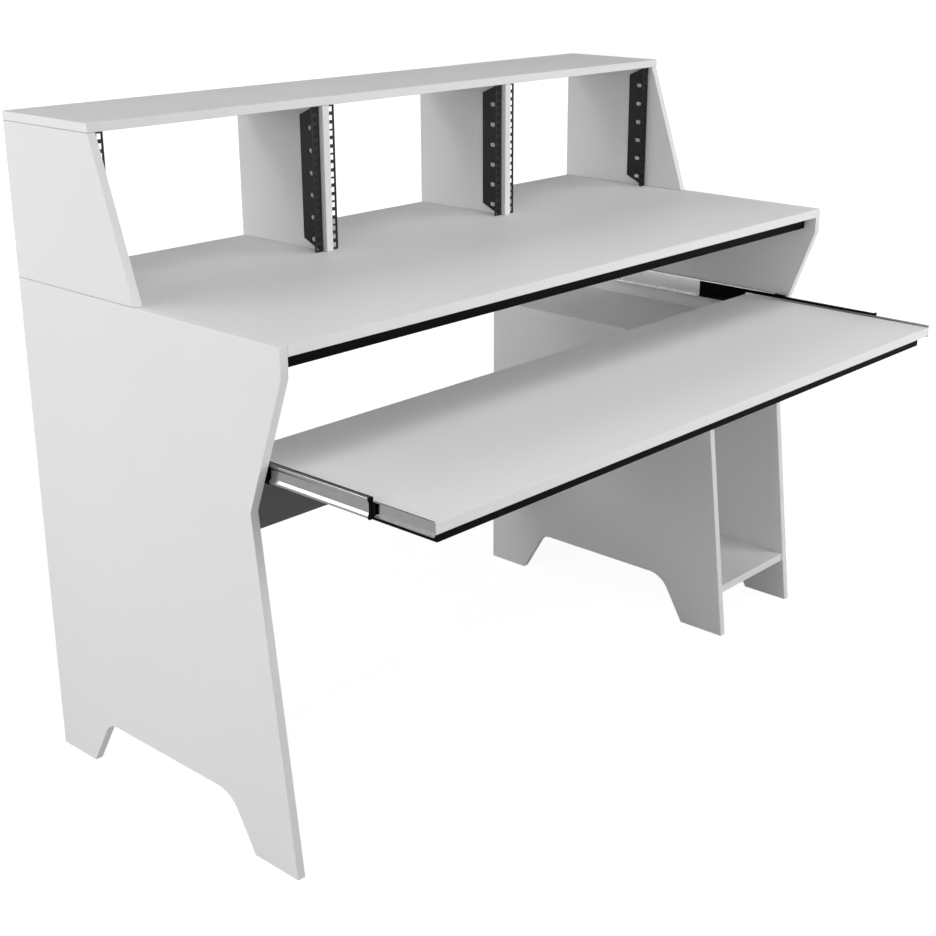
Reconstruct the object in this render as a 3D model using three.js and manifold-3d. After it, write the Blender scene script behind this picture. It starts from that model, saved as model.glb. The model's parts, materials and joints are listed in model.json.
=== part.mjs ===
// Studio desk with three rack bays over the desktop, a keyboard tray on telescopic ball slides
// and a computer bay on the right. Millimetres, +X to the right, -Y to the front, +Z up.
// The origin is on the floor, at the middle of the desk with its tray drawn out.
import * as THREE from 'three';
import { mergeVertices } from 'three/addons/utils/BufferGeometryUtils.js';
import Module from 'manifold-3d';

const wasm = await Module();
wasm.setup();

// Boards
const uprightThickness = 16;      // side panels, dividers, top shelf and rear board
const worktopThickness = 18;      // desktop, tray, computer bay top and computer bay shelf
const edgeRounding = 0.8;         // the edge banding's rounded corner
const roundingSteps = 2;
const seatGap = 0.3;              // between two pieces that touch

// Side panels, as depths from the back plane and heights over the floor
const desktopHeight = 928;
const desktopDepth = 700;
const desktopFrontDrop = 51;      // upright part of the side panel's front edge
const waistHeight = 642;
const waistDepth = 612;
const footDepth = 687;
const frontFootLength = 110;
const rearFootLength = 102;
const archHeight = 100;
const archSlope = 60;             // how far each end of the arch leans in over its height
const frontArchRadius = 58;
const rearArchRadius = 40;
const arcSteps = 8;

// Rack bays over the desktop, to the 19-inch rack standard
const bayCount = 3;
const rackUnitHeight = 44.45;
const rackUnits = 6;
const rackHeadroom = 5.3;         // left over in a bay's height
const rackHoleSpan = 465.1;       // hole line to hole line
const rackHoleInset = 12.45;      // hole line to the board beside it
const rackHoleSize = 9.5;
const rackHoleShares = [1 / 7, 1 / 2, 6 / 7];   // heights of the three holes in one unit
const topShelfDepth = 248;
const upperSideDepth = 342;       // the slanted upper side panel's depth at the desktop

// Rack rails, folded from sheet
const railSheet = 3;
const railFoldRadius = 1;         // inside the fold
const railSetback = 9;            // from the top shelf's front edge to the rail's front face
const railDepth = 52;
const railFootDepth = 6;          // what the cut corners leave of the side flange's ends
const railCornerRise = 20;        // height of the cut corners
const railEdge = 2.8;             // sheet left beside the square holes
const slotLength = 16;
const slotWidth = 9;
const slotSetback = 25;           // from the rail's front face to the slots' middle
const topSlotDrop = 43;           // from the rail's top to the top slot's middle
const slotSteps = 6;              // steps round each end of a slot

// Computer bay
const computerBayWidth = 250;
const bayShelfHeight = 113;
const bayShelfDepth = 671;

// Rear board between the left side panel and the computer bay
const rearBoardBottom = 303;
const rearBoardHeight = 150;

// Square steel tubes under the desktop and the tray
const stiffenerSize = 25;
const tubeSize = 20;              // the tray's frame
const tubeWall = 1.5;
const tubeCorner = 2;
const tubeCornerSteps = 3;
const stiffenerSetback = 24;      // from the desktop's front edge
const stiffenerEndGap = 6;
const frameSideInset = 16;        // from the tray's side edges
const frameFrontInset = 13;       // from the tray's front and back edges

// Keyboard tray and its pull
const trayHeight = 718;
const slideLength = 450;          // also the tray's depth
const slideFrontDepth = 615;      // from the back plane to the fixed members' front ends
const trayPull = 375;             // how far the tray is out
const middlePull = 250;           // how far the middle members are out
const slideAxisDrop = 8;          // from the tray's top to the slides' middle line

// Three-member ball slides, as distances from the side panel and from the slide's middle line
const slideSpace = 12.7;          // side panel to tray
const outerHeight = 42;
const slideSheet = 1.2;
const ballDiameter = 3;
const ballPlay = 0.1;             // on each side of a ball
const ballWide = 6;               // facets round a ball
const ballHigh = 4;               // facets from pole to pole
const retainerSheet = 0.7;
const retainerPlay = 0.25;
const outerReach = 9.4;           // fixed member's flange, to the middle of its lip
const outerLip = 1.8;
const outerFold = 1.6;
const lipFold = 0.8;
const webRecess = 2.4;            // middle member's web, set back between its flanges
const recessSlope = 5;
const flangeShoulder = 3.4;       // middle member's flange, from its top to the slope
const middleFold = 1.3;
const innerFlange = 4.2;
const innerRace = 3;              // flat part of the moving member's flange, under its balls
const innerSlope = 5;             // height of the slope between that flange and the web
const foldSteps = 4;
const cageLength = 230;
const cageInset = 102;            // closed, from the slide's front end to the cage's
const cageArm = 6.1;
const cageBalls = 5;              // balls in one row
const stripBalls = 8;
const stripLip = 3.4;             // snaps over the free edge of the middle member's flange
const stripLipGap = 0.3;
const ballRowEnd = 14;            // from a retainer's end to its first ball
const stopThickness = 4;          // plastic stop on the middle member's front end
const tongueLength = 8;
const tongueDepth = 2.6;
const tongueMargin = 2.4;         // from the tongue to the moving member's flange

const baysWidth = rackHoleSpan + 2 * rackHoleInset;
const deskWidth = bayCount * baysWidth + (bayCount + 1) * uprightThickness;
const insideHalf = deskWidth / 2 - uprightThickness;
const bayHeight = rackUnits * rackUnitHeight + rackHeadroom;
const overallDepth = slideFrontDepth + trayPull;
const trayHalf = insideHalf - slideSpace;
const bayPanelRight = insideHalf - computerBayWidth;
const bayPanelLeft = bayPanelRight - uprightThickness;

const alongX = new THREE.Vector3(1, 0, 0);
const alongY = new THREE.Vector3(0, 1, 0);
const alongZ = new THREE.Vector3(0, 0, 1);
const acrossDesk = new THREE.Matrix4().makeBasis(alongY, alongZ, alongX);
const towardsFront = new THREE.Matrix4().makeBasis(alongX, alongZ, alongY.clone().negate());
const towardsBack = new THREE.Matrix4().makeBasis(alongZ, alongX, alongY);

const desk = new THREE.Group();
desk.position.y = overallDepth / 2;

function finish(color, roughness, metalness) {
  return new THREE.MeshStandardMaterial({ color, roughness, metalness });
}

function whiteLaminate() {
  return finish(0xe4e4e2, 0.55, 0);
}

function darkLaminate() {
  return finish(0x4b4b4c, 0.6, 0);
}

function blackSteel() {
  return finish(0x17181a, 0.45, 0.6);
}

function zincSteel() {
  return finish(0xb9bbbd, 0.3, 1);
}

function blackPlastic() {
  return finish(0x101112, 0.5, 0);
}

function add(name, geometry, material, x, y, z) {
  const mesh = new THREE.Mesh(geometry, material);
  mesh.name = name;
  mesh.position.set(x, y, z);
  desk.add(mesh);
  return mesh;
}

// Outline through corners [u, v, radius]; a corner without a radius stays sharp.
function roundedOutline(corners, steps) {
  const points = [];
  corners.forEach(([u, v, radius = 0], i) => {
    const corner = new THREE.Vector2(u, v);
    if (radius === 0) {
      points.push(corner);
      return;
    }
    const before = corners[(i + corners.length - 1) % corners.length];
    const after = corners[(i + 1) % corners.length];
    points.push(...roundedCorner(corner, before, after, radius, steps));
  });
  return points;
}

// Arc that joins the two edges at a corner, tangent to both.
function roundedCorner(corner, before, after, radius, steps) {
  const back = new THREE.Vector2(before[0], before[1]).sub(corner).normalize();
  const ahead = new THREE.Vector2(after[0], after[1]).sub(corner).normalize();
  const halfAngle = Math.acos(THREE.MathUtils.clamp(back.dot(ahead), -1, 1)) / 2;
  const bisector = back.clone().add(ahead).normalize();
  const centre = corner.clone().addScaledVector(bisector, radius / Math.sin(halfAngle));
  const start = corner.clone().addScaledVector(back, radius / Math.tan(halfAngle)).sub(centre);
  const turn = (Math.PI - 2 * halfAngle) * Math.sign(ahead.cross(back));
  return Array.from({ length: steps + 1 }, (_, k) =>
    start.clone().rotateAround(new THREE.Vector2(), turn * k / steps).add(centre));
}

// Laminated board: its outline extruded by its thickness, every edge rounded over.
function board(corners, thickness) {
  const geometry = new THREE.ExtrudeGeometry(new THREE.Shape(roundedOutline(corners, arcSteps)), {
    depth: thickness - 2 * edgeRounding,
    bevelThickness: edgeRounding,
    bevelSize: edgeRounding,
    bevelOffset: -edgeRounding,
    bevelSegments: roundingSteps,
  });
  return geometry.translate(0, 0, edgeRounding);
}

// Flat board, from its left back corner.
function flatBoard(width, depth, thickness) {
  return board([[0, -depth], [width, -depth], [width, 0], [0, 0]], thickness);
}

// Outline of bent sheet, offset to both sides of its middle line.
function sheetOutline(middleLine, sheet) {
  const line = openRounded(middleLine);
  const sides = [sheet / 2, -sheet / 2].map((offset) => line.map((point, i) => {
    const along = line[Math.min(i + 1, line.length - 1)].clone().sub(line[Math.max(i - 1, 0)]);
    const into = i > 0 ? point.clone().sub(line[i - 1]) : along.clone();
    const normal = new THREE.Vector2(-along.y, along.x).normalize();
    const mitre = new THREE.Vector2(-into.y, into.x).normalize().dot(normal);
    return point.clone().addScaledVector(normal, offset / mitre);
  }));
  return [...sides[0], ...sides[1].reverse()];
}

// Middle line whose inner corners are folded at their radius; its two ends stay as they are.
function openRounded(corners) {
  return corners.flatMap(([x, y, radius], i) => {
    const corner = new THREE.Vector2(x, y);
    return radius ? roundedCorner(corner, corners[i - 1], corners[i + 1], radius, foldSteps) : [corner];
  });
}

function extrude(outline, length, basis = new THREE.Matrix4()) {
  const shape = new THREE.Shape(outline);
  return new THREE.ExtrudeGeometry(shape, { depth: length, bevelEnabled: false }).applyMatrix4(basis);
}

function toSolid(geometry) {
  const bare = geometry.clone();
  bare.deleteAttribute('normal');
  bare.deleteAttribute('uv');
  const merged = mergeVertices(bare);
  const triVerts = new Uint32Array(merged.index.array);
  const vertProperties = new Float32Array(merged.attributes.position.array);
  return new wasm.Manifold(new wasm.Mesh({ numProp: 3, vertProperties, triVerts }));
}

function toGeometry(solid) {
  const mesh = solid.getMesh();
  const geometry = new THREE.BufferGeometry();
  geometry.setAttribute('position', new THREE.BufferAttribute(mesh.vertProperties, mesh.numProp));
  geometry.setIndex(new THREE.BufferAttribute(mesh.triVerts, 1));
  return geometry;
}

// Foot part of a side panel's outline, from the floor's back corner to the front of its waist.
function footCorners() {
  const archFront = footDepth - frontFootLength;
  return [
    [0, 0],
    [-rearFootLength, 0],
    [-rearFootLength - archSlope, archHeight, rearArchRadius],
    [archSlope - archFront, archHeight, frontArchRadius],
    [-archFront, 0],
    [-footDepth, 0],
  ];
}

function sidePanels() {
  const corners = [
    ...footCorners(),
    [-waistDepth, waistHeight],
    [-desktopDepth, desktopHeight - desktopFrontDrop],
    [-desktopDepth, desktopHeight],
    [0, desktopHeight],
  ];
  const geometry = board(corners, uprightThickness).applyMatrix4(acrossDesk);
  add('side_panel_left', geometry, whiteLaminate(), -deskWidth / 2, 0, 0);
  add('side_panel_right', geometry.clone(), whiteLaminate(), insideHalf, 0, 0);
}

function desktop() {
  const width = 2 * (insideHalf - seatGap);
  const geometry = flatBoard(width, desktopDepth, worktopThickness);
  add('desktop', geometry, whiteLaminate(), -width / 2, 0, desktopHeight - worktopThickness);
}

function upperSides() {
  const height = bayHeight - 2 * seatGap;
  const corners = [[0, 0], [-upperSideDepth, 0], [-topShelfDepth, height], [0, height]];
  const geometry = board(corners, uprightThickness).applyMatrix4(acrossDesk);
  const foot = desktopHeight + seatGap;
  add('upper_side_left', geometry, whiteLaminate(), -deskWidth / 2, 0, foot);
  add('upper_side_right', geometry.clone(), whiteLaminate(), insideHalf, 0, foot);
}

function bayLeft(bay) {
  return bay * (baysWidth + uprightThickness) - insideHalf;
}

function dividers() {
  const height = bayHeight - 2 * seatGap;
  const corners = [[0, 0], [-topShelfDepth, 0], [-topShelfDepth, height], [0, height]];
  for (let bay = 1; bay < bayCount; bay += 1) {
    const geometry = board(corners, uprightThickness).applyMatrix4(acrossDesk);
    const left = bayLeft(bay) - uprightThickness;
    add(`bay_divider_${bay}`, geometry, whiteLaminate(), left, 0, desktopHeight + seatGap);
  }
}

function topShelf() {
  const geometry = flatBoard(deskWidth, topShelfDepth, uprightThickness);
  add('top_shelf', geometry, whiteLaminate(), -deskWidth / 2, 0, desktopHeight + bayHeight);
}

// Rack rail at the left of a bay: an angle with square holes in front and slots in its side.
function leftRail() {
  const height = bayHeight - 2 * seatGap;
  const half = railSheet / 2;
  const flange = rackHoleInset + rackHoleSize / 2 + railEdge - seatGap;
  const fold = railFoldRadius + half;
  const angle = sheetOutline([[flange, half], [half, half, fold], [half, railDepth]], railSheet);
  let rail = toSolid(extrude(angle, height));
  for (const hole of railHoles(height)) rail = rail.subtract(hole);
  for (const slot of railSlots(height)) rail = rail.subtract(slot);
  for (const corner of railCorners(height)) rail = rail.subtract(corner);
  return toGeometry(rail);
}

function railHoles(height) {
  const margin = (height - rackUnits * rackUnitHeight) / 2;
  const holes = [];
  for (let unit = 0; unit < rackUnits; unit += 1) {
    for (const share of rackHoleShares) {
      const box = new THREE.BoxGeometry(rackHoleSize, railDepth, rackHoleSize);
      box.translate(rackHoleInset - seatGap, 0, margin + (unit + share) * rackUnitHeight);
      holes.push(toSolid(box));
    }
  }
  return holes;
}

function railSlots(height) {
  const straight = (slotLength - slotWidth) / 2;
  const outline = new THREE.Shape();
  outline.absarc(straight, 0, slotWidth / 2, -Math.PI / 2, Math.PI / 2);
  outline.absarc(-straight, 0, slotWidth / 2, Math.PI / 2, 3 * Math.PI / 2);
  const cutter = extrude(outline.getPoints(slotSteps), 2 * railDepth, acrossDesk);
  const pitch = (height - railCornerRise - topSlotDrop) / (rackUnits - 1);
  return Array.from({ length: rackUnits }, (_, k) =>
    toSolid(cutter.clone().translate(-railDepth, slotSetback, railCornerRise + k * pitch)));
}

function railCorners(height) {
  const low = [
    [railFootDepth, 0],
    [railDepth, railCornerRise],
    [railDepth + railFootDepth, railCornerRise],
    [railDepth + railFootDepth, -railFootDepth],
    [railFootDepth, -railFootDepth],
  ].map(([y, z]) => new THREE.Vector2(y, z));
  const high = low.map((point) => new THREE.Vector2(point.x, height - point.y)).reverse();
  return [low, high].map((outline) =>
    toSolid(extrude(outline, 2 * railDepth, acrossDesk).translate(-railDepth, 0, 0)));
}

// The same geometry seen in a mirror across the desk, its faces turned to point out again.
function mirrored(geometry) {
  const copy = geometry.clone().scale(-1, 1, 1);
  const index = copy.index.array;
  for (let i = 0; i < index.length; i += 3) {
    [index[i], index[i + 1]] = [index[i + 1], index[i]];
  }
  return copy;
}

function rackRails() {
  const left = leftRail();
  const right = mirrored(left);
  const front = railSetback - topShelfDepth;
  for (let bay = 0; bay < bayCount; bay += 1) {
    const x = bayLeft(bay);
    const foot = desktopHeight + seatGap;
    add(`rack_rail_${bay + 1}_left`, left.clone(), blackSteel(), x + seatGap, front, foot);
    add(`rack_rail_${bay + 1}_right`, right.clone(), blackSteel(), x + baysWidth - seatGap, front, foot);
  }
}

function computerBay() {
  const corners = [
    ...footCorners(),
    [-waistDepth, waistHeight - seatGap],
    [0, waistHeight - seatGap],
  ];
  const panel = board(corners, uprightThickness).applyMatrix4(acrossDesk);
  add('bay_panel', panel, whiteLaminate(), bayPanelLeft, 0, 0);
  const top = flatBoard(insideHalf - seatGap - bayPanelLeft, waistDepth, worktopThickness);
  add('bay_top', top, whiteLaminate(), bayPanelLeft, 0, waistHeight);
  const shelf = flatBoard(computerBayWidth - 2 * seatGap, bayShelfDepth, worktopThickness);
  const shelfFoot = bayShelfHeight - worktopThickness;
  add('bay_shelf', shelf, whiteLaminate(), bayPanelRight + seatGap, 0, shelfFoot);
}

function rearBoard() {
  const width = bayPanelLeft + insideHalf - 2 * seatGap;
  const corners = [[0, 0], [rearBoardHeight, 0], [rearBoardHeight, width], [0, width]];
  const geometry = board(corners, uprightThickness).applyMatrix4(towardsBack);
  add('rear_board', geometry, darkLaminate(), seatGap - insideHalf, -uprightThickness, rearBoardBottom);
}

// Square tube along X, open at its ends, centred on the origin.
function squareTube(length, size) {
  const corners = (half, corner) => roundedOutline(
    [[-half, -half, corner], [half, -half, corner], [half, half, corner], [-half, half, corner]],
    tubeCornerSteps,
  );
  const shape = new THREE.Shape(corners(size / 2, tubeCorner));
  shape.holes.push(new THREE.Path(corners(size / 2 - tubeWall, tubeCorner - tubeWall).reverse()));
  const geometry = new THREE.ExtrudeGeometry(shape, { depth: length, bevelEnabled: false });
  return geometry.applyMatrix4(acrossDesk).translate(-length / 2, 0, 0);
}

function deskStiffener() {
  const tube = squareTube(2 * (insideHalf - stiffenerEndGap), stiffenerSize);
  const y = stiffenerSetback + stiffenerSize / 2 - desktopDepth;
  const z = desktopHeight - worktopThickness - seatGap - stiffenerSize / 2;
  add('desktop_stiffener', tube, blackSteel(), 0, y, z);
}

// Tube with both ends mitred: its +Y side, which faces into the frame, is the shorter one.
function mitredTube(length) {
  const tube = squareTube(length, tubeSize);
  const position = tube.attributes.position;
  for (let i = 0; i < position.count; i += 1) {
    const cut = position.getY(i) + tubeSize / 2;
    position.setX(i, position.getX(i) - Math.sign(position.getX(i)) * cut);
  }
  return tube;
}

function trayFrame() {
  const halfWidth = trayHalf - frameSideInset;
  const halfDepth = slideLength / 2 - frameFrontInset;
  const middle = slideLength / 2 - overallDepth;
  const z = trayHeight - worktopThickness - seatGap - tubeSize / 2;
  const sides = [
    ['tray_tube_front', halfWidth, halfDepth, 0],
    ['tray_tube_right', halfDepth, halfWidth, 1],
    ['tray_tube_rear', halfWidth, halfDepth, 2],
    ['tray_tube_left', halfDepth, halfWidth, 3],
  ];
  for (const [name, half, out, quarter] of sides) {
    const turn = quarter * Math.PI / 2;
    const away = new THREE.Vector2(0, tubeSize / 2 - out).rotateAround(new THREE.Vector2(), turn);
    const tube = add(name, mitredTube(2 * (half - seatGap)), blackSteel(), away.x, middle + away.y, z);
    tube.rotation.z = turn;
  }
}

function tray() {
  const geometry = flatBoard(2 * trayHalf, slideLength, worktopThickness);
  const back = slideLength - overallDepth;
  add('tray', geometry, whiteLaminate(), -trayHalf, back, trayHeight - worktopThickness);
}

// Bent sections of the slide, mirrored above and below its middle line
const outerHalf = outerHeight / 2;
const ballRoom = ballDiameter + 2 * ballPlay;
const middleHalf = outerHalf - slideSheet - ballRoom;
const innerHalf = middleHalf - slideSheet - ballRoom;
const outerBallRow = outerHalf - slideSheet - ballRoom / 2;
const innerBallRow = middleHalf - slideSheet - ballRoom / 2;
const outerWeb = seatGap + slideSheet / 2;
const cageWeb = seatGap + slideSheet + retainerPlay + retainerSheet / 2;
const middleBulge = cageWeb + retainerSheet / 2 + retainerPlay + slideSheet / 2;
const middleWeb = middleBulge + webRecess;
const stripWeb = middleWeb + slideSheet / 2 + retainerPlay + retainerSheet / 2;
const innerWeb = slideSpace - seatGap - slideSheet / 2;
const stripLipLine = innerWeb - slideSheet / 2 - stripLipGap - retainerSheet / 2;
const middleReach = stripLipLine - retainerSheet / 2 - stripLipGap;
const outerBallLine = (cageWeb + outerReach) / 2;
const innerBallLine = (stripWeb + stripLipLine) / 2;
const stopBack = middleBulge - slideSheet / 2;
const stopFront = stripLipLine + retainerSheet / 2;
const stopHalf = innerBallRow + stripLip;

function bothHalves(upper) {
  const lower = upper.map(([x, h, radius]) => [x, -h, radius]).reverse();
  return [...lower, ...upper];
}

function outerSection() {
  const flange = outerHalf - slideSheet / 2;
  return sheetOutline(bothHalves([
    [outerWeb, flange, outerFold],
    [outerReach, flange, lipFold],
    [outerReach, flange - outerLip],
  ]), slideSheet);
}

function middleSection() {
  const flange = middleHalf - slideSheet / 2;
  return sheetOutline(bothHalves([
    [middleWeb, flange - flangeShoulder - recessSlope, lipFold],
    [middleBulge, flange - flangeShoulder, lipFold],
    [middleBulge, flange, middleFold],
    [middleReach, flange],
  ]), slideSheet);
}

function innerSection() {
  const flange = innerHalf - slideSheet / 2;
  return sheetOutline(bothHalves([
    [innerWeb, flange - innerSlope, lipFold],
    [innerWeb - innerFlange + innerRace, flange, lipFold],
    [innerWeb - innerFlange, flange],
  ]), slideSheet);
}

function cageSection() {
  return sheetOutline(bothHalves([
    [cageWeb, outerBallRow, lipFold],
    [cageWeb + cageArm, outerBallRow],
  ]), retainerSheet);
}

function stripSection() {
  return sheetOutline(bothHalves([
    [stripWeb, innerBallRow, lipFold],
    [stripLipLine, innerBallRow, lipFold],
    [stripLipLine, stopHalf],
  ]), retainerSheet);
}

// Balls in two rows, one above and one below the middle line, from the rear end to the front.
function ballRows(x, h, length, count) {
  const pitch = (length - 2 * ballRowEnd) / (count - 1);
  const balls = [];
  for (let k = 0; k < count; k += 1) {
    for (const side of [1, -1]) {
      const ball = new THREE.SphereGeometry(ballDiameter / 2, ballWide, ballHigh);
      balls.push(ball.translate(x, -ballRowEnd - k * pitch, side * h));
    }
  }
  return balls;
}

function fuse(geometries) {
  const [first, ...others] = geometries.map(toSolid);
  return toGeometry(others.reduce((whole, piece) => whole.add(piece), first));
}

function ballCage() {
  const strip = extrude(cageSection(), cageLength, towardsFront);
  return fuse([strip, ...ballRows(outerBallLine, outerBallRow, cageLength, cageBalls)]);
}

// Black strip in the middle member's channel: it holds the inner balls and ends in the stop,
// which leaves the end of the middle member's web bare.
function ballStrip() {
  const length = slideLength - stopThickness;
  const strip = extrude(stripSection(), length + stopThickness, towardsFront);
  const passage = innerHalf + retainerPlay;
  const plate = bothHalves([
    [stripWeb + retainerSheet / 2, passage],
    [stopFront, passage],
    [stopFront, stopHalf],
    [stopBack, stopHalf],
    [stopBack, middleHalf - flangeShoulder],
    [middleWeb, middleHalf - flangeShoulder - recessSlope],
  ]).map(([x, h]) => new THREE.Vector2(x, h));
  const stop = extrude(plate, stopThickness, towardsFront).translate(0, -length, 0);
  const tongueHalf = innerHalf - slideSheet - tongueMargin;
  const tongueBox = new THREE.BoxGeometry(tongueDepth, stopThickness + tongueLength, 2 * tongueHalf);
  const tongue = tongueBox.translate(
    stripWeb + tongueDepth / 2,
    -length - (stopThickness + tongueLength) / 2,
    0,
  );
  return fuse([strip, stop, tongue, ...ballRows(innerBallLine, innerBallRow, length, stripBalls)]);
}

// Every piece of the left slide, from the side panel's face, its rear end and its middle line.
function slidePieces() {
  const closedRear = slideLength - slideFrontDepth;
  const cageRear = cageLength + cageInset - slideFrontDepth - middlePull / 2;
  const middleRear = closedRear - middlePull;
  const middleLength = slideLength - stopThickness;
  const bar = (section, length) => toGeometry(toSolid(extrude(section, length, towardsFront)));
  return [
    ['slide_outer', bar(outerSection(), slideLength), zincSteel, closedRear],
    ['slide_middle', bar(middleSection(), middleLength), zincSteel, middleRear],
    ['slide_inner', bar(innerSection(), slideLength), zincSteel, closedRear - trayPull],
    ['ball_cage', ballCage(), blackPlastic, cageRear],
    ['ball_strip', ballStrip(), blackPlastic, middleRear],
  ];
}

function slides() {
  const z = trayHeight - slideAxisDrop;
  for (const [name, geometry, material, rear] of slidePieces()) {
    add(`${name}_left`, geometry, material(), -insideHalf, rear, z);
    add(`${name}_right`, mirrored(geometry), material(), insideHalf, rear, z);
  }
}

sidePanels();
desktop();
upperSides();
dividers();
topShelf();
rackRails();
computerBay();
rearBoard();
deskStiffener();
tray();
trayFrame();
slides();

export default desk;
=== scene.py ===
"""Looks of the studio desk: laminate, powder coat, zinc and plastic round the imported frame.

Metres, +X to the desk's right, +Y to its back, +Z up, origin on the floor.
"""

import json
import math

import bmesh
import bpy
from mathutils import Matrix, Vector


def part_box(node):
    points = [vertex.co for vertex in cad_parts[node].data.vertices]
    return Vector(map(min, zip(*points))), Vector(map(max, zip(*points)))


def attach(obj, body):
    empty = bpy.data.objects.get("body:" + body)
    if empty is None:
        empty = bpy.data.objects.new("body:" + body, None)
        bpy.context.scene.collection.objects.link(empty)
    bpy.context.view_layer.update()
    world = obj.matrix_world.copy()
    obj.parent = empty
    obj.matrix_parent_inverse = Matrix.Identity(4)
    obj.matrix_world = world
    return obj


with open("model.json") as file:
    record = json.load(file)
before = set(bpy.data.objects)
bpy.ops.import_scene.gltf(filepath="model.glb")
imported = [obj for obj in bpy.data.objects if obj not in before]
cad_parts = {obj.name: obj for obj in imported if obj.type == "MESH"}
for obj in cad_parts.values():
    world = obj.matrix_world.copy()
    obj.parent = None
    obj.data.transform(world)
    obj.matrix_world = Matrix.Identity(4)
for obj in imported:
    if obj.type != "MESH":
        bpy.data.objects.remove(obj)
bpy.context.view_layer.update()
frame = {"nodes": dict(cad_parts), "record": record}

MM = 0.001

# Camera at the photograph's viewpoint
CAMERA_PLACE = (-2.1951, -1.9142, 1.5358)
CAMERA_HEADING = 42.068            # degrees from +X towards +Y
CAMERA_DROP = 19.162               # degrees below level
CAMERA_ROLL = 0.057                # degrees
CAMERA_LENS = 59.5
CAMERA_SENSOR = 36
CAMERA_SHIFT = (-0.0240, -0.0199)

# Studio light
WHITE_LIGHT = (1, 1, 1, 1)
SOFTBOXES = {
    # name: (place, aimed at, width, height, watts, spread in degrees)
    "key_softbox": ((-3.4, -3.0, 3.0), (0, 0, 0.7), 3.0, 2.2, 27, 180),
    "left_softbox": ((-4.2, 0.6, 1.6), (-0.7, 0.2, 0.6), 2.6, 2.6, 84, 180),
    "top_softbox": ((0.4, -1.2, 4.4), (0, -0.1, 0.9), 3.2, 2.4, 48, 180),
    "front_softbox": ((0, -2.8, 1.6), (0, 0, 0.7), 2.4, 1.2, 23, 180),
    "front_right_softbox": ((2.2, -3.0, 1.4), (0, 0, 0.7), 1.6, 1.2, 44, 180),
    "back_softbox": ((-2.0, 2.4, 3.4), (-0.75, -0.2, 0.7), 1.6, 1.2, 24, 180),
    "right_softbox": ((4.2, 0.4, 0.6), (0.7, 0.1, 0.6), 2.4, 1.2, 60, 180),
    "rear_softbox": ((0.4, 4.4, 0.45), (0, 0.4, 0.6), 2.8, 0.9, 50, 180),
    "tray_strip": ((0, -0.7, 2.8), (0, -0.5, 0.8), 2.8, 0.6, 1.4, 60),
    "slide_strip": ((-3.4, 2.3, 1.75), (-0.75, -0.35, 0.7), 1.2, 0.5, 12, 180),
}

# Floor
FLOOR_RADIUS = 14.0
FLOOR_CORNERS = 96
FLOOR_MATTE = 0.5                  # its own colour as it lights the desk
FLOOR_PALE = 0.9                   # its own colour where the camera sees it
FLOOR_WHITE = 1.15                 # its glow as the camera sees it
FLOOR_FADE = (1.6, 4.0)            # the desk's shadow fades out between these distances
FLOOR_NEAR_GLOW = 0.80             # share of the glow where the shadow is kept

# Nodes with a finish of their own; every other node has that of its material slot
NODE_FINISHES = {
    "white_upright": (
        "side_panel_left", "side_panel_right", "upper_side_left", "upper_side_right",
        "bay_divider_1", "bay_divider_2", "bay_panel",
    ),
    "white_level": ("desktop", "top_shelf", "bay_top", "bay_shelf", "tray"),
    "dark_upright": ("rear_board",),
    # Painted shade: the stiffener and tray tubes take a darker copy of the black coat
    "tube_black_painted_darker": (
        "desktop_stiffener",
        "tray_tube_front", "tray_tube_right", "tray_tube_rear", "tray_tube_left",
    ),
    # Painted light: the fixed outer slide members take a much lighter copy of the same zinc
    # plate
    "zinc_painted_lighter": ("slide_outer_left", "slide_outer_right"),
}

# Finishes. Relief is the depth of a finish's fine grain.
# The white edge band is a little lighter than the face: partly the banding's own colour, partly
# painted light for edges the lamps reach less
WHITE_FACE, WHITE_BAND = (0.80, 0.80, 0.80, 1), (0.82, 0.82, 0.82, 1)
DARK_FACE, DARK_BAND = (0.13, 0.13, 0.132, 1), (0.10, 0.10, 0.102, 1)
LAMINATE_RELIEF = 0.03 * MM
EGGSHELL = {"Specular IOR Level": 0.1}
SATIN = {"Specular IOR Level": 0.15}
DULL = {"Specular IOR Level": 0.02}
METAL = {"Metallic": 1.0}
LAMINATE_FINISHES = {
    # finish: (material, the way its boards are thin, face colour, edge band colour)
    "white_upright": ("white_laminate_upright", (1, 0, 0), WHITE_FACE, WHITE_BAND),
    "white_level": ("white_laminate_level", (0, 0, 1), WHITE_FACE, WHITE_BAND),
    "dark_upright": ("dark_laminate", (0, 1, 0), DARK_FACE, DARK_BAND),
}
SEAMED_FINISH = "white_upright"
BLACK_FINISHES = {
    # finish: (material, base colour, relief, gloss, how much dust and wear shows)
    "black_steel": ("black_powder_coat", (0.014, 0.014, 0.0145, 1), 0.02 * MM, SATIN, 1.0),
    # a darker copy of the black powder coat for the tubes under the desk and tray: painted shade
    "tube_black_painted_darker": ("tube_coat_painted_darker", (0.003, 0.003, 0.0032, 1), 0.02 * MM, DULL, 0.3),
    "black_plastic": ("black_acetal", (0.003, 0.003, 0.003, 1), 0.015 * MM, DULL, 0.3),
}
ZINC_FINISHES = {
    # finish: (material, base colour, relief)
    # zinc_plate's base is far darker than bare zinc: painted shade standing in for the darker
    # surroundings its webs reflect
    "zinc_steel": ("zinc_plate", (0.262, 0.264, 0.267, 1), 0.0012 * MM),
    # a much lighter copy of the same zinc plate for the fixed outer members: painted light
    "zinc_painted_lighter": ("zinc_plate_painted_lighter", (0.72, 0.722, 0.725, 1), 0.0003 * MM),
    # the balls' steel is far darker than bare steel
    "ball_steel": ("dark_ball_steel", (0.06, 0.06, 0.062, 1), 0.002 * MM),
}

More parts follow.
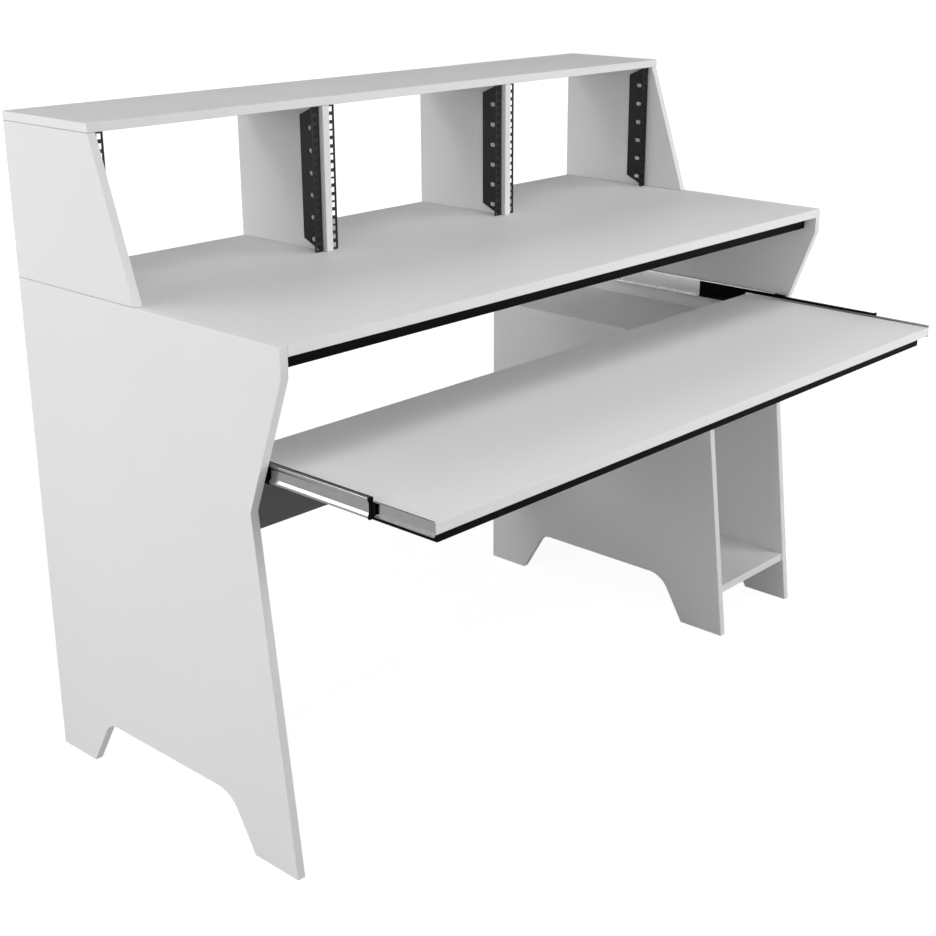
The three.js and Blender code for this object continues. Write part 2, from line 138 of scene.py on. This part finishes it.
# Noise of each finish: (scale, detail, roughness)
PEARL_NOISE = (420, 3, 0.7)
BOARD_CLOUD_NOISE = (2.6, 3, 0.55)
SMUDGE_NOISE = (9, 4, 0.6)
WEAR_NOISE = (55, 4, 0.65)
ORANGE_PEEL_NOISE = (1500, 2, 0.5)
COAT_CLOUD_NOISE = (40, 3, 0.5)
STREAK_NOISE = (2600, 3, 0.6)
ZINC_CLOUD_NOISE = (70, 3, 0.55)
NOISE_SPAN = (0.3, 0.7)            # most of a noise lies in here

# Laminate
BAND_TURN = (0.80, 0.60)           # face to edge band, as the surface turns off the thin way
CLOUD_TONE = (0.985, 1.0)
PEARL_TONE = (-0.016, 0.016)
GLUE_LINE_SHADE = 0.3
SMUDGE_SPAN = (0.35, 0.65)
FACE_ROUGHNESS = (0.50, 0.57)
BAND_POLISH = 0.12                 # how much less rough the band is
BAND_RELIEF = 0.15                 # the band's share of the face's relief
# Painted shade along the seams of the upper sides, standing in for the shade in the joints
PAINTED_SEAM_SHADE = 0.5                   # how much darker a board is right at its seam
SEAM_REACH = (0.4 * MM, 1.0 * MM)  # full shade up to the first distance, none past the second
SEAM_FADE = (0.7, 0.95)            # a surface that turns this far up or down shows no seam

# Powder coat
CORNER_TURN = (0.97, 0.80)         # flat face to rounded corner
CORNER_WEAR = 0.5
WEAR_SPAN = (0.42, 0.62)
LEAST_WEAR = 0.15                  # between the patches
WORN_COLOR = (0.12, 0.12, 0.122, 1)
WEAR_SHARE = 0.16                  # of the worn colour, on a fully worn corner
WEAR_POLISH = 0.12                 # how much less rough a fully worn corner is
DUST_SPAN = (0.35, 0.7)
DUST_SHARE = 0.04                  # of the worn colour, where the coat is dustiest
COAT_ROUGHNESS = (0.40, 0.50)

# Rolled zinc
STREAK_STRETCH = (1, 0.02, 1)
STREAK_TONE = (-0.02, 0.02)
ZINC_CLOUD_TONE = (0.95, 1.02)
ZINC_ROUGHNESS = (0.18, 0.24)

# Smooth shading of the solids
SMOOTH_ANGLE = 50                  # degrees; a sharper edge stays sharp
WELD_DISTANCE = 0.001 * MM

# Ball slides
SLIDE_AXIS_DROP = 8 * MM           # from the tray's top to the slides' middle line
BALL_RADIUS = 1.52 * MM
BALL_ROW_END = 14 * MM             # from a retainer's end to its first ball
BALL_RINGS = 6
BALL_SEGMENTS = 10
BALL_ROWS = {
    # retainer: (body, distance from the side panel, from the middle line, row length, balls)
    "ball_cage": ("cage", 5.75 * MM, 18.2 * MM, 230 * MM, 21),
    "ball_strip": ("middle", 8.725 * MM, 13.8 * MM, 446 * MM, 43),
}

# Tray frame: a bead in each mitre, and how far it stays under the tubes' faces
BEAD_THICKNESS = 0.4 * MM
BEAD_INSET = 0.85 * MM

# Computer bay: the filled joint between its top and its inner panel
JOINT_FILL = 0.9 * MM              # how far the filler reaches over each board's rounded edge
JOINT_DEPTH = 1.2 * MM
JOINT_END = 1.0 * MM               # left open at the front and back

# Sockets of the finish groups
FLOAT = "NodeSocketFloat"
VECTOR = "NodeSocketVector"
COLOR = "NodeSocketColor"
PLACE = ("Place", VECTOR, (0, 0, 0))
NORMAL = ("Normal", VECTOR, (0, 0, 1))
SKIN = [("Color", COLOR), ("Roughness", FLOAT), ("Height", FLOAT)]


class Graph:
    """Adds and wires the nodes of one tree."""

    def __init__(self, tree):
        self.tree = tree

    def add(self, kind, inputs=None, **settings):
        node = self.tree.nodes.new(kind)
        for name, value in settings.items():
            setattr(node, name, value)
        for name, value in (inputs or {}).items():
            self.feed(node.inputs[name], value)
        return node

    def feed(self, socket, value):
        if isinstance(value, bpy.types.NodeSocket):
            self.tree.links.new(value, socket)
        else:
            socket.default_value = value

    def math(self, operation, first, second=0.0):
        return self.add("ShaderNodeMath", {0: first, 1: second}, operation=operation).outputs[0]

    def product(self, first, *others):
        for other in others:
            first = self.math("MULTIPLY", first, other)
        return first

    def gap(self, first, second):
        """How far two values are apart."""
        return self.math("ABSOLUTE", self.math("SUBTRACT", first, second))

    def less(self, value, mask, share):
        """The value, lowered by a share of the mask."""
        return self.math("SUBTRACT", value, self.math("MULTIPLY", mask, share))

    def remap(self, value, span, result=(0.0, 1.0)):
        """The value taken from one span to another, and held at its ends."""
        node = self.add("ShaderNodeMapRange", {
            "Value": value, "From Min": span[0], "From Max": span[1],
            "To Min": result[0], "To Max": result[1],
        })
        return node.outputs[0]

    def vector(self, operation, first, second=(0, 0, 0)):
        return self.add("ShaderNodeVectorMath", {0: first, 1: second}, operation=operation)

    def split(self, vector):
        return self.add("ShaderNodeSeparateXYZ", {0: vector}).outputs

    def grey(self, tone):
        node = self.add("ShaderNodeCombineColor", dict.fromkeys(("Red", "Green", "Blue"), tone))
        return node.outputs[0]

    def mix(self, factor, first, second, blend="MIX"):
        """Two colours mixed; the node's inputs 6 and 7 and output 2 are its colour sockets."""
        node = self.add("ShaderNodeMix", data_type="RGBA", blend_type=blend)
        self.feed(node.inputs["Factor"], factor)
        self.feed(node.inputs[6], first)
        self.feed(node.inputs[7], second)
        return node.outputs[2]

    def toned(self, color, tone):
        """The colour, made darker or lighter by the tone."""
        return self.mix(1.0, color, self.grey(tone), "MULTIPLY")

    def noise(self, place, kind):
        scale, detail, roughness = kind
        node = self.add("ShaderNodeTexNoise", {
            "Vector": place, "Scale": scale, "Detail": detail, "Roughness": roughness,
        })
        return node.outputs["Fac"]


def shader_group(name, inputs, outputs):
    """A node group with named sockets, and the graph, entry and exit to fill it with."""
    tree = bpy.data.node_groups.new(name, "ShaderNodeTree")
    for label, kind, value in inputs:
        socket = tree.interface.new_socket(label, in_out="INPUT", socket_type=kind)
        socket.default_value = value
    for label, kind in outputs:
        tree.interface.new_socket(label, in_out="OUTPUT", socket_type=kind)
    graph = Graph(tree)
    enter = graph.add("NodeGroupInput").outputs
    leave = graph.add("NodeGroupOutput").inputs
    return tree, graph, enter, leave


def painted_seam_shade(graph, enter):
    """Painted shade: how much darker a board is at the seams over and under it, behind their
    front end, standing in for the shade in those joints.
    """
    place = graph.split(enter["Place"])
    from_foot = graph.gap(place["Z"], enter["Foot Seam"])
    from_head = graph.gap(place["Z"], enter["Head Seam"])
    from_seam = graph.math("MINIMUM", from_foot, from_head)
    shade = graph.remap(from_seam, SEAM_REACH, (PAINTED_SEAM_SHADE, 0.0))
    rising = graph.math("ABSOLUTE", graph.split(enter["Normal"])["Z"])
    upright = graph.remap(rising, SEAM_FADE, (1.0, 0.0))
    behind = graph.math("GREATER_THAN", place["Y"], enter["Seam Front"])
    return graph.product(shade, upright, behind)


def laminate_group():
    """Pearl-grained melamine face, and the smoother banding on the board's edges."""
    tree, graph, enter, leave = shader_group(
        "laminate",
        [
            PLACE,
            NORMAL,
            ("Thin Axis", VECTOR, (0, 0, 1)),
            ("Face Color", COLOR, WHITE_FACE),
            ("Band Color", COLOR, WHITE_BAND),
            ("Foot Seam", FLOAT, -1.0),
            ("Head Seam", FLOAT, -1.0),
            ("Seam Front", FLOAT, 0.0),
        ],
        SKIN,
    )
    thin_way = graph.vector("DOT_PRODUCT", enter["Normal"], enter["Thin Axis"]).outputs["Value"]
    band = graph.remap(graph.math("ABSOLUTE", thin_way), BAND_TURN)
    pearl = graph.noise(enter["Place"], PEARL_NOISE)
    cloud = graph.noise(enter["Place"], BOARD_CLOUD_NOISE)
    smudge = graph.noise(enter["Place"], SMUDGE_NOISE)
    glue_line = graph.math("MULTIPLY", band, graph.math("SUBTRACT", 1.0, band))
    tone = graph.math(
        "ADD",
        graph.remap(cloud, NOISE_SPAN, CLOUD_TONE), graph.remap(pearl, NOISE_SPAN, PEARL_TONE))
    tone = graph.less(tone, glue_line, GLUE_LINE_SHADE)
    # painted shade along the seams over and under the upper sides
    tone = graph.math("SUBTRACT", tone, painted_seam_shade(graph, enter))
    color = graph.mix(band, enter["Face Color"], enter["Band Color"])
    roughness = graph.remap(smudge, SMUDGE_SPAN, FACE_ROUGHNESS)
    relief = graph.remap(band, (0.0, 1.0), (1.0, BAND_RELIEF))
    graph.feed(leave["Color"], graph.toned(color, tone))
    graph.feed(leave["Roughness"], graph.less(roughness, band, BAND_POLISH))
    graph.feed(leave["Height"], graph.math("MULTIPLY", pearl, relief))
    return tree


def corner_wear_group():
    """Mask of the rounded corners, where handling rubs a coat thin, in broken patches."""
    tree, graph, enter, leave = shader_group(
        "corner_wear", [PLACE, NORMAL, ("Amount", FLOAT, CORNER_WEAR)], [("Mask", FLOAT)])
    across, along, up = graph.split(graph.vector("ABSOLUTE", enter["Normal"]).outputs[0])
    flattest = graph.math("MAXIMUM", graph.math("MAXIMUM", across, along), up)
    corner = graph.remap(flattest, CORNER_TURN)
    patch = graph.remap(graph.noise(enter["Place"], WEAR_NOISE), WEAR_SPAN, (LEAST_WEAR, 1.0))
    graph.feed(leave["Mask"], graph.product(corner, patch, enter["Amount"]))
    return tree


def powder_coat_group(corner_wear):
    """Fine orange peel of a baked coat, rubbed a little smoother and paler on its corners."""
    tree, graph, enter, leave = shader_group(
        "powder_coat",
        [PLACE, NORMAL, ("Base", COLOR, (0.02, 0.02, 0.02, 1)), ("Use", FLOAT, 1.0)], SKIN)
    worn = graph.add(
        "ShaderNodeGroup", {"Place": enter["Place"], "Normal": enter["Normal"]},
        node_tree=corner_wear).outputs["Mask"]
    peel = graph.noise(enter["Place"], ORANGE_PEEL_NOISE)
    cloud = graph.noise(enter["Place"], COAT_CLOUD_NOISE)
    dusty = graph.remap(cloud, DUST_SPAN, (0.0, DUST_SHARE))
    paler = graph.math("ADD", dusty, graph.math("MULTIPLY", worn, WEAR_SHARE))
    paler = graph.math("MULTIPLY", paler, enter["Use"])
    roughness = graph.remap(cloud, NOISE_SPAN, COAT_ROUGHNESS)
    graph.feed(leave["Color"], graph.mix(paler, enter["Base"], WORN_COLOR))
    graph.feed(leave["Roughness"], graph.less(roughness, worn, WEAR_POLISH))
    graph.feed(leave["Height"], peel)
    return tree


def rolled_zinc_group():
    """Zinc over rolled strip: long streaks along Y and a faint cloudiness."""
    tree, graph, enter, leave = shader_group(
        "rolled_zinc", [PLACE, ("Base", COLOR, (0.6, 0.6, 0.6, 1))], SKIN)
    drawn_out = graph.vector("MULTIPLY", enter["Place"], STREAK_STRETCH).outputs[0]
    streak = graph.noise(drawn_out, STREAK_NOISE)
    cloud = graph.noise(enter["Place"], ZINC_CLOUD_NOISE)
    tone = graph.math(
        "ADD",
        graph.remap(streak, NOISE_SPAN, STREAK_TONE),
        graph.remap(cloud, NOISE_SPAN, ZINC_CLOUD_TONE))
    graph.feed(leave["Color"], graph.toned(enter["Base"], tone))
    graph.feed(leave["Roughness"], graph.remap(streak, NOISE_SPAN, ZINC_ROUGHNESS))
    graph.feed(leave["Height"], streak)
    return tree


def new_material(name):
    material = bpy.data.materials.new(name)
    material.use_nodes = True
    material.node_tree.nodes.clear()
    return material, Graph(material.node_tree)


def finished_material(name, group, values, relief, settings):
    """A material whose colour, roughness and relief come from one finish group."""
    material, graph = new_material(name)
    coordinates = graph.add("ShaderNodeTexCoord").outputs
    finish = graph.add("ShaderNodeGroup", values, node_tree=group)
    graph.feed(finish.inputs["Place"], coordinates["Object"])
    if "Normal" in finish.inputs:
        graph.feed(finish.inputs["Normal"], coordinates["Normal"])
    skin = finish.outputs
    bump = graph.add("ShaderNodeBump", {
        "Height": skin["Height"], "Strength": 1.0, "Distance": relief,
    })
    shader = graph.add("ShaderNodeBsdfPrincipled", {
        "Base Color": skin["Color"], "Roughness": skin["Roughness"], "Normal": bump.outputs[0],
        **settings,
    })
    graph.add("ShaderNodeOutputMaterial", {"Surface": shader.outputs[0]})
    return material


def board_seams():
    """Heights of the seams under and over the upper sides, and where their front end is."""
    return {
        "Foot Seam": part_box("desktop")[1][2],
        "Head Seam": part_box("top_shelf")[0][2],
        "Seam Front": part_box("upper_side_left")[0][1],
    }


def make_materials():
    """Every finish of the desk, by its name."""
    laminate = laminate_group()
    coat = powder_coat_group(corner_wear_group())
    zinc = rolled_zinc_group()
    made = {}
    for finish, (name, thin_axis, face, band) in LAMINATE_FINISHES.items():
        values = {"Thin Axis": thin_axis, "Face Color": face, "Band Color": band}
        if finish == SEAMED_FINISH:
            values.update(board_seams())
        made[finish] = finished_material(name, laminate, values, LAMINATE_RELIEF, EGGSHELL)
    for finish, (name, base, relief, gloss, use) in BLACK_FINISHES.items():
        made[finish] = finished_material(name, coat, {"Base": base, "Use": use}, relief, gloss)
    for finish, (name, base, relief) in ZINC_FINISHES.items():
        made[finish] = finished_material(name, zinc, {"Base": base}, relief, METAL)
    return made


def smoothing_group():
    """Geometry nodes that weld a solid's corners and shade its folds and arcs smooth."""
    tree = bpy.data.node_groups.new("smooth_folds", "GeometryNodeTree")
    for way in ("INPUT", "OUTPUT"):
        tree.interface.new_socket("Geometry", in_out=way, socket_type="NodeSocketGeometry")
    graph = Graph(tree)
    solid = graph.add("NodeGroupInput").outputs[0]
    plain = graph.add("GeometryNodeRemoveAttribute", {
        "Geometry": solid, "Name": "custom_normal",
    })
    welded = graph.add("GeometryNodeMergeByDistance", {
        "Geometry": plain.outputs[0], "Distance": WELD_DISTANCE,
    })
    smooth = graph.add("GeometryNodeSetShadeSmooth", {
        "Geometry": welded.outputs[0], "Shade Smooth": True,
    })
    angle = graph.add("GeometryNodeInputMeshEdgeAngle").outputs["Unsigned Angle"]
    sharp = graph.math("GREATER_THAN", angle, math.radians(SMOOTH_ANGLE))
    creased = graph.add("GeometryNodeSetShadeSmooth", {
        "Geometry": smooth.outputs[0], "Selection": sharp, "Shade Smooth": False,
    }, domain="EDGE")
    graph.add("NodeGroupOutput", {0: creased.outputs[0]})
    return tree


def dress_nodes(materials):
    """Gives every CAD node its finish and its smooth folds."""
    finishes = {part["node"]: part["material_slot"] for part in frame["record"]["subparts"]}
    for finish, nodes in NODE_FINISHES.items():
        finishes.update(dict.fromkeys(nodes, finish))
    smoothing = smoothing_group()
    for name, piece in frame["nodes"].items():
        piece.material_slots[0].material = materials[finishes[name]]
        folds = piece.modifiers.new("smooth_folds", "NODES")
        folds.node_group = smoothing
        even = piece.modifiers.new("even_normals", "WEIGHTED_NORMAL")
        even.keep_sharp = True


def new_piece(name, shape, material):
    """An object made from a finished bmesh, in one material."""
    mesh = bpy.data.meshes.new(name)
    shape.to_mesh(mesh)
    shape.free()
    mesh.materials.append(material)
    piece = bpy.data.objects.new(name, mesh)
    bpy.context.scene.collection.objects.link(piece)
    return piece


def add_block(shape, middle, size, turn=Matrix.Identity(4)):
    bmesh.ops.create_cube(
        shape, size=1, matrix=Matrix.Translation(middle) @ turn @ Matrix.Diagonal((*size, 1)))


def ball_places(retainer, side):
    """Middle of every ball in one retainer, in two rows, from its rear end to its front."""
    _, out, rise, length, count = BALL_ROWS[retainer]
    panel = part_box(f"side_panel_{side}")
    x = panel[1][0] + out if side == "left" else panel[0][0] - out
    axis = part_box("tray")[1][2] - SLIDE_AXIS_DROP
    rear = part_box(f"{retainer}_{side}")[1][1]
    pitch = (length - 2 * BALL_ROW_END) / (count - 1)
    return [
        (x, rear - BALL_ROW_END - k * pitch, axis + row * rise)
        for row in (1, -1) for k in range(count)
    ]


def make_balls(retainer, side, material):
    """One mesh of dark steel balls, riding with their retainer."""
    balls = bmesh.new()
    for place in ball_places(retainer, side):
        bmesh.ops.create_uvsphere(
            balls, u_segments=BALL_SEGMENTS, v_segments=BALL_RINGS, radius=BALL_RADIUS,
            matrix=Matrix.Translation(place))
    for face in balls.faces:
        face.smooth = True
    piece = new_piece(f"{retainer}_balls_{side}", balls, material)
    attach(piece, f"{BALL_ROWS[retainer][0]}_{side}")


def make_mitre_welds(material):
    """Ground-down weld beads that close the four mitres of the tray's frame."""
    front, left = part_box("tray_tube_front"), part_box("tray_tube_left")
    rear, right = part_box("tray_tube_rear"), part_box("tray_tube_right")
    tube = front[1][2] - front[0][2]
    rise = tube - 2 * BEAD_INSET
    size = (math.sqrt(2) * rise, BEAD_THICKNESS, rise)
    beads = bmesh.new()
    for x, into_x in ((left[0][0], 1), (right[1][0], -1)):
        for y, into_y in ((front[0][1], 1), (rear[1][1], -1)):
            middle = (x + into_x * tube / 2, y + into_y * tube / 2, front[0][2] + tube / 2)
            turn = Matrix.Rotation(math.atan2(into_y, into_x), 4, "Z")
            add_block(beads, middle, size, turn)
    piece = new_piece("tray_frame_welds", beads, material)
    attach(piece, "tray")


def fill_bay_joint(material):
    """White filler that makes the bay's top and its inner panel one smooth face."""
    panel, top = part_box("bay_panel"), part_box("bay_top")
    front = max(panel[0][1], top[0][1]) + JOINT_END
    low = Vector((panel[0][0], front, panel[1][2] - JOINT_FILL))
    high = Vector((panel[0][0] + JOINT_DEPTH, top[1][1] - JOINT_END, top[0][2] + JOINT_FILL))
    filler = bmesh.new()
    add_block(filler, (low + high) / 2, high - low)
    piece = new_piece("bay_joint_filler", filler, material)
    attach(piece, "desk")


def place_camera():
    heading, drop = math.radians(CAMERA_HEADING), math.radians(CAMERA_DROP)
    ahead = Vector((
        math.cos(heading) * math.cos(drop), math.sin(heading) * math.cos(drop), -math.sin(drop)))
    side = Vector((math.sin(heading), -math.cos(heading), 0))
    up = side.cross(ahead)
    roll = math.radians(CAMERA_ROLL)
    rolled_side = math.cos(roll) * side + math.sin(roll) * up
    rolled_up = -math.sin(roll) * side + math.cos(roll) * up
    lens = bpy.data.cameras.new("photo_camera")
    lens.lens = CAMERA_LENS
    lens.sensor_width = CAMERA_SENSOR
    lens.shift_x, lens.shift_y = CAMERA_SHIFT
    camera = bpy.data.objects.new("photo_camera", lens)
    turn = Matrix((rolled_side, rolled_up, -ahead)).transposed().to_4x4()
    camera.matrix_world = Matrix.Translation(CAMERA_PLACE) @ turn
    bpy.context.scene.collection.objects.link(camera)
    bpy.context.scene.camera = camera


def seen_directly(graph):
    """1 for rays from the camera, a reflection or a see-through piece, 0 for light itself."""
    path = graph.add("ShaderNodeLightPath").outputs
    seen = graph.math("MAXIMUM", path["Is Camera Ray"], path["Is Glossy Ray"])
    return graph.math("MAXIMUM", seen, path["Is Transmission Ray"])


def light_studio():
    """White surroundings that give no light of their own, and the softboxes that do."""
    scene = bpy.context.scene
    world = bpy.data.worlds.new("studio")
    world.use_nodes = True
    world.node_tree.nodes.clear()
    graph = Graph(world.node_tree)
    sky = graph.add("ShaderNodeBackground", {
        "Color": WHITE_LIGHT, "Strength": seen_directly(graph),
    })
    graph.add("ShaderNodeOutputWorld", {"Surface": sky.outputs[0]})
    scene.world = world
    for name, (place, target, width, height, watts, spread) in SOFTBOXES.items():
        lamp = bpy.data.lights.new(name, "AREA")
        lamp.shape = "RECTANGLE"
        lamp.size = width
        lamp.size_y = height
        lamp.energy = watts
        lamp.spread = math.radians(spread)
        box = bpy.data.objects.new(name, lamp)
        box.location = place
        aim = Vector(target) - Vector(place)
        box.rotation_euler = aim.to_track_quat("-Z", "Y").to_euler()
        box.visible_camera = False
        scene.collection.objects.link(box)


def pale_floor_material():
    """Matte floor with the desk's shadow, under a white glow that only the camera sees."""
    material, graph = new_material("pale_floor")
    seen = seen_directly(graph)
    place = graph.add("ShaderNodeTexCoord").outputs["Object"]
    distance = graph.vector("LENGTH", place).outputs["Value"]
    share = graph.remap(distance, FLOOR_FADE, (FLOOR_NEAR_GLOW, 1.0))
    tone = graph.remap(seen, (0.0, 1.0), (FLOOR_MATTE, FLOOR_PALE))
    matte = graph.add("ShaderNodeBsdfDiffuse", {"Color": graph.grey(tone)})
    glow = graph.add("ShaderNodeEmission", {"Color": WHITE_LIGHT, "Strength": FLOOR_WHITE})
    blend = graph.add("ShaderNodeMixShader", {
        "Fac": graph.math("MULTIPLY", seen, share), 1: matte.outputs[0], 2: glow.outputs[0],
    })
    graph.add("ShaderNodeOutputMaterial", {"Surface": blend.outputs[0]})
    return material


def lay_floor():
    """Pale floor that keeps the desk's shadow and runs out into the white background."""
    disc = bmesh.new()
    bmesh.ops.create_circle(
        disc, cap_ends=True, segments=FLOOR_CORNERS, radius=FLOOR_RADIUS)
    floor = new_piece("floor", disc, pale_floor_material())


materials = make_materials()
dress_nodes(materials)
for slide_side in ("left", "right"):
    for ball_retainer in BALL_ROWS:
        make_balls(ball_retainer, slide_side, materials["ball_steel"])
make_mitre_welds(materials["tube_black_painted_darker"])
fill_bay_joint(materials["white_upright"])
place_camera()
light_studio()
lay_floor()

bpy.context.scene.view_settings.view_transform = "Standard"
